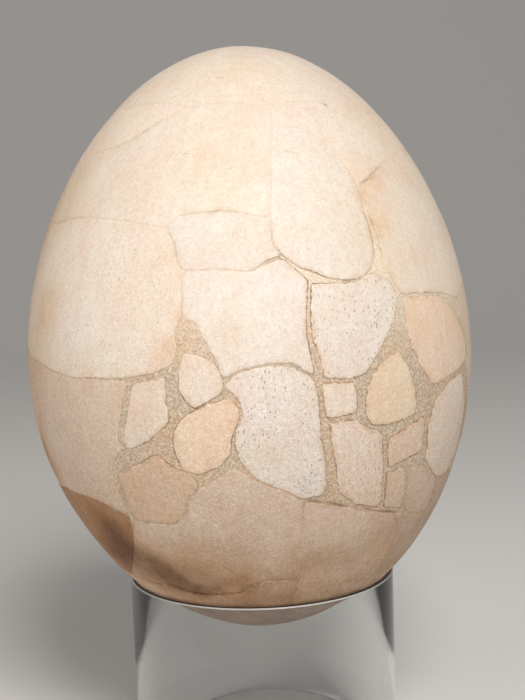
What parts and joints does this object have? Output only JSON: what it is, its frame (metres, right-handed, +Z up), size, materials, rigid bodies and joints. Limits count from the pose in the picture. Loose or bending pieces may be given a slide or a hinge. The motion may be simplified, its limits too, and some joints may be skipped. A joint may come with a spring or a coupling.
{
  "type": "fossil elephant bird egg on a display tube",
  "caption": "Large upright fossil egg rebuilt from shell fragments set in filler, resting on the rim of a clear display tube.",
  "frame": {"origin": "centre of the ring on which the tube stands, at the level of the surface below it", "axes": "+Z up along the tube and the egg, -Y out of the egg's front, where most of the small fragments are, +X to the viewer's right"},
  "size_m": [0.2238, 0.2238, 0.3595],
  "materials": {
    "fossil_shell": "matt cream to tan eggshell with fine pores, and a grainy grey-tan filler in the seams",
    "clear_acrylic": "clear, polished, with polished rims"
  },
  "bodies": {
    "root": {"egg": "fossil_shell", "display_tube": "clear_acrylic"}
  },
  "joints": []
}
